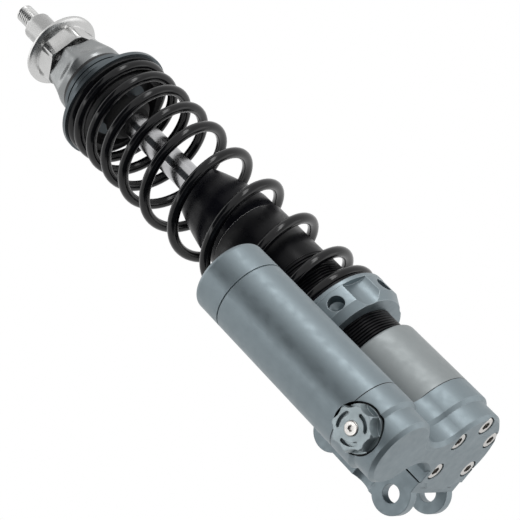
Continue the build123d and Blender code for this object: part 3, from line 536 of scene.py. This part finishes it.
def smooth_height(turn):
    """The same height with each change of pitch spread over most of a turn."""
    total = 0.0
    for i in range(SMOOTH_SAMPLES):
        total += coil_height(turn + SMOOTH_TURN * (2 * i / (SMOOTH_SAMPLES - 1) - 1))
    return total / SMOOTH_SAMPLES


def coil_rise(turn):
    """How steeply the wire climbs along its own line."""
    height = smooth_height(turn + SLOPE_STEP) - smooth_height(turn - SLOPE_STEP)
    return height / (2 * SLOPE_STEP) / (2 * math.pi * SPRING_R)


def stacked(sides, levels):
    """Faces of a closed skin over rings of points, one ring more than there are levels."""
    faces = []
    for level in range(levels):
        for i in range(sides):
            a, b = level * sides + i, level * sides + (i + 1) % sides
            faces.append(((a, b, b + sides, a + sides), 0))
    faces.append((tuple(range(sides)), 0))
    faces.append((tuple(range(levels * sides, (levels + 1) * sides)), 0))
    return faces


def coil(name, first, last):
    """A length of the spring's wire, ground flat where it passes the spring's ends."""
    count = int((last - first) * WIRE_STEPS)
    points = []
    for i in range(count + 1):
        turn = first + (last - first) * i / count
        angle = math.radians(COIL_BEARING + 360 * turn)
        out = Vector((math.cos(angle), math.sin(angle), 0))
        along = Vector((-math.sin(angle), math.cos(angle), coil_rise(turn))).normalized()
        up = out.cross(along) * -1
        centre = out * SPRING_R + Vector((0, 0, smooth_height(turn)))
        for k in range(WIRE_SIDES):
            t = 2 * math.pi * k / WIRE_SIDES
            p = centre + out * (WIRE_R * math.cos(t)) + up * (WIRE_R * math.sin(t))
            p.z = min(max(p.z, SPRING_BOTTOM), SPRING_TOP)
            points.append(tuple(p))
    made = piece(name, points, stacked(WIRE_SIDES, count), [finishes["spring"]], WIRE_SHARP)
    return made


def spring_pieces():
    """The spring in two lengths: the lower with its place baked into its mesh, the upper on the housing with
    a mesh of its own.
    """
    split = smooth_height(SPLIT_TURN)
    lower = coil("spring_lower", -END_TURNS, SPLIT_TURN)
    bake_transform(lower)
    upper = coil("spring_upper", SPLIT_TURN, len(COIL_PITCHES) + END_TURNS)
    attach(upper, "housing")
    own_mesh(upper)
    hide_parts("spring")


def cove(name, side):
    """The broad concave flank of the web between the two turrets."""
    turret, reservoir = TURRET_R + COVE_R, RESERVOIR_R + COVE_R
    x = (turret ** 2 - reservoir ** 2 + RESERVOIR_X ** 2) / (2 * RESERVOIR_X)
    y = math.sqrt(turret ** 2 - x ** 2)
    first, last = math.atan2(-y, -x), math.atan2(-y, RESERVOIR_X - x)
    points = []
    for height, inset in COVE_LEVELS:
        hollow = COVE_R + inset
        row = []
        for i in range(COVE_STEPS + 1):
            angle = first + (last - first) * i / COVE_STEPS
            row.append((x + hollow * math.cos(angle), y + hollow * math.sin(angle)))
        row += [(row[-1][0], COVE_ROOT), (row[0][0], COVE_ROOT)]
        points += [(px, side * py, height) for px, py in row]
    made = piece(name, points, stacked(len(row), len(COVE_LEVELS) - 1), [finishes["cove"]])
    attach(made, "housing")


def knob_radius(height):
    """The rebound knob's outline without its scoops."""
    for (r0, z0), (r1, z1) in zip(KNOB_OUTLINE, KNOB_OUTLINE[1:]):
        if height <= z1:
            return r0 + (r1 - r0) * (height - z0) / (z1 - z0)
    return KNOB_OUTLINE[-1][0]


def scooped(height):
    """The rebound knob's radius at a height, as a function of angle."""
    depth = SCOOP_DEPTH * max(0.0, min(1.0, (height - SCOOP_FOOT) / SCOOP_RUN))
    pitch = 2 * math.pi / SCOOP_COUNT

    def at(angle):
        offset = (angle - math.radians(SCOOP_BEARING) + pitch / 2) % pitch - pitch / 2
        share = offset / (pitch * SCOOP_SHARE / 2)
        return knob_radius(height) - depth * max(0.0, 1 - share * share)
    return at


def knob_grip():
    """The rebound knob with its six concave scoops and sharp ridges."""
    low, high = KNOB_OUTLINE[0][1], KNOB_OUTLINE[-1][1]
    rows = []
    for i in range(KNOB_ROWS + 1):
        height = low + (high - low) * i / KNOB_ROWS
        rows.append((scooped(height), height, 0))
    rows += [(KNOB_BORE, high, 0), (KNOB_BORE, PIN_TOP, 0), (GROOVE_R, PIN_TOP, 0),
             (GROOVE_R, PIN_FOOT, 0), (KNOB_BORE, PIN_FOOT, 0), (KNOB_BORE, low, 0)]
    points, faces = lathe(rows, KNOB_STEPS)
    made = piece("knob_grip", points, faces, [finishes["knob"]], KNOB_SHARP)
    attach(made, "rebound_adjuster")
    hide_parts("rebound_knob")


def collar_ring():
    """The preload collar, turned so that a spanner hole and a flute face the front as they do in use."""
    data = nodes["preload_collar"].data.copy()
    centre = place(0, 0, 0)
    turn = Matrix.Rotation(math.radians(COLLAR_TURN), 4, "Z")
    data.transform(Matrix.Translation(centre) @ turn @ Matrix.Translation(-centre))
    made = joined("collar_ring", data)
    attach(made, "collar")
    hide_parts("preload_collar")


def housing_lip():
    """The narrow ledge at the foot of the housing, between the clevis plates."""
    levels = ((LIP_TOP, 0.0), (LIP_BOTTOM + LIP_EDGE, 0.0), (LIP_BOTTOM, LIP_EDGE))
    points = []
    for height, inset in levels:
        front = LIP_FRONT + inset
        row = [(LIP_LEFT, front), (LIP_RIGHT, front), (LIP_RIGHT, LIP_BACK), (LIP_LEFT, LIP_BACK)]
        points += [(x, y, height) for x, y in row]
    made = piece("housing_lip", points, stacked(len(row), len(levels) - 1), [finishes["housing"]])
    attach(made, "housing")


threaded_tube()
mount_with_thread()
spring_pieces()
housing_lip()
cove("housing_cove_rear", 1)
cove("housing_cove_front", -1)
collar_ring()
knob_grip()


# Camera, floor and light

RIGHT = Vector((-0.545222, 0.571140, -0.613622))
UP = Vector((0.111063, 0.774753, 0.622433))
BACK = Vector((0.830902, 0.271214, -0.485845))
CAMERA_PLACE = (0.6222, 0.2287, -0.2303)
FLOOR_SIZE = 6000
FLOOR_DROP = 0.4

camera = joined("camera", bpy.data.cameras.new("camera"))
camera.data.lens = 108.32
camera.data.sensor_width = 36.0
camera.data.clip_start = 0.05
camera.data.clip_end = 50.0
turn = Matrix((RIGHT, UP, BACK)).transposed()
camera.matrix_world = Matrix.Translation(CAMERA_PLACE) @ turn.to_4x4()
bpy.context.scene.camera = camera
centre = (cad_box[0] + cad_box[1]) / 2


def aim(made, direction, distance):
    """Moves a card or lamp away from the object's centre and turns it to face back, in millimetres."""
    heading = Vector(direction).normalized()
    made.location = centre + heading * mm(distance)
    made.rotation_mode = "QUATERNION"
    made.rotation_quaternion = heading.to_track_quat("Z", "Y")


def card(name, across, along, direction, distance, material):
    """A flat stage card that faces the object from a direction."""
    x, y = mm(across) / 2, mm(along) / 2
    data = bpy.data.meshes.new(name)
    data.from_pydata([(-x, -y, 0), (x, -y, 0), (x, y, 0), (-x, y, 0)], [], [(0, 1, 2, 3)])
    data.materials.append(material)
    made = joined(name, data)
    aim(made, direction, distance)
    return made


def softbox(name, direction, distance, size, power):
    """A large soft area lamp that faces the object."""
    data = bpy.data.lights.new(name, "AREA")
    data.shape = "RECTANGLE"
    data.size, data.size_y = size
    data.energy = power
    aim(joined(name, data), direction, distance)


# The floor is clear from below, and takes a shadow but gives no light back
floor_finish = Finish("pale_floor")
floor_finish.shader.inputs["Base Color"].default_value = (0.86, 0.86, 0.86, 1.0)
floor_finish.shader.inputs["Roughness"].default_value = 0.9
facing = floor_finish.node("ShaderNodeNewGeometry").outputs["Backfacing"]
clear = floor_finish.node("ShaderNodeBsdfTransparent")
either = floor_finish.node("ShaderNodeMixShader")
floor_finish.link(facing, either.inputs[0])
floor_finish.link(floor_finish.shader.outputs[0], either.inputs[1])
floor_finish.link(clear.outputs[0], either.inputs[2])
floor_finish.link(either.outputs[0], floor_finish.out.inputs["Surface"])
floor = card("floor", FLOOR_SIZE, FLOOR_SIZE, (0, 0, 1), 0, floor_finish.material)
floor.location.z = cad_box[0].z - mm(FLOOR_DROP)
floor.visible_shadow = False
floor.visible_glossy = False
floor.visible_diffuse = False

# The dark flags are seen only in the glossy surfaces
flag_finish = Finish("dark_flag")
flag_finish.shader.inputs["Base Color"].default_value = (0.09, 0.095, 0.10, 1.0)
flag_finish.shader.inputs["Roughness"].default_value = 1.0
flag_finish.shader.inputs["Specular IOR Level"].default_value = 0.0
for name, across, along, heading, far in (
        ("flag_front", 560, 900, (0.858, 0.161, 0.486), 700),
        ("flag_below", 1500, 1300, (0.6, -0.2, -0.85), 800)):
    flag = card(name, across, along, heading, far, flag_finish.material)
    flag.visible_camera = False
    flag.visible_diffuse = False
    flag.visible_shadow = False

# The world lights the object softly, and is white to the camera and in metal and glass
world = bpy.data.worlds.new("studio")
bpy.context.scene.world = world
world.use_nodes = True
tree = world.node_tree
tree.nodes.clear()
paths = tree.nodes.new("ShaderNodeLightPath")
seen = paths.outputs["Is Camera Ray"]
for ray in ("Is Glossy Ray", "Is Transmission Ray"):
    either = tree.nodes.new("ShaderNodeMath")
    either.operation = "MAXIMUM"
    tree.links.new(seen, either.inputs[0])
    tree.links.new(paths.outputs[ray], either.inputs[1])
    seen = either.outputs[0]
both = tree.nodes.new("ShaderNodeMixShader")
tree.links.new(seen, both.inputs[0])
for slot, colour, strength in ((1, (0.93, 0.97, 1.0), 0.42), (2, (1.0, 1.0, 1.0), 1.0)):
    background = tree.nodes.new("ShaderNodeBackground")
    background.inputs["Color"].default_value = (*colour, 1.0)
    background.inputs["Strength"].default_value = strength
    tree.links.new(background.outputs[0], both.inputs[slot])
surface = tree.nodes.new("ShaderNodeOutputWorld")
tree.links.new(both.outputs[0], surface.inputs["Surface"])

softbox("key", UP * 0.9 + BACK * 0.45 + RIGHT * 0.45, 950, (0.18, 0.9), 3.0)
softbox("fill", RIGHT * -0.9 + BACK * 0.5 + UP * 0.1, 1000, (0.16, 0.9), 0.9)
softbox("rim", RIGHT * 0.9 + BACK * 0.1 - UP * 0.2, 1000, (0.5, 0.9), 1.2)
softbox("top", (0.2, -0.3, 1.0), 1100, (0.8, 0.8), 1.4)

bpy.context.scene.view_settings.view_transform = "Standard"
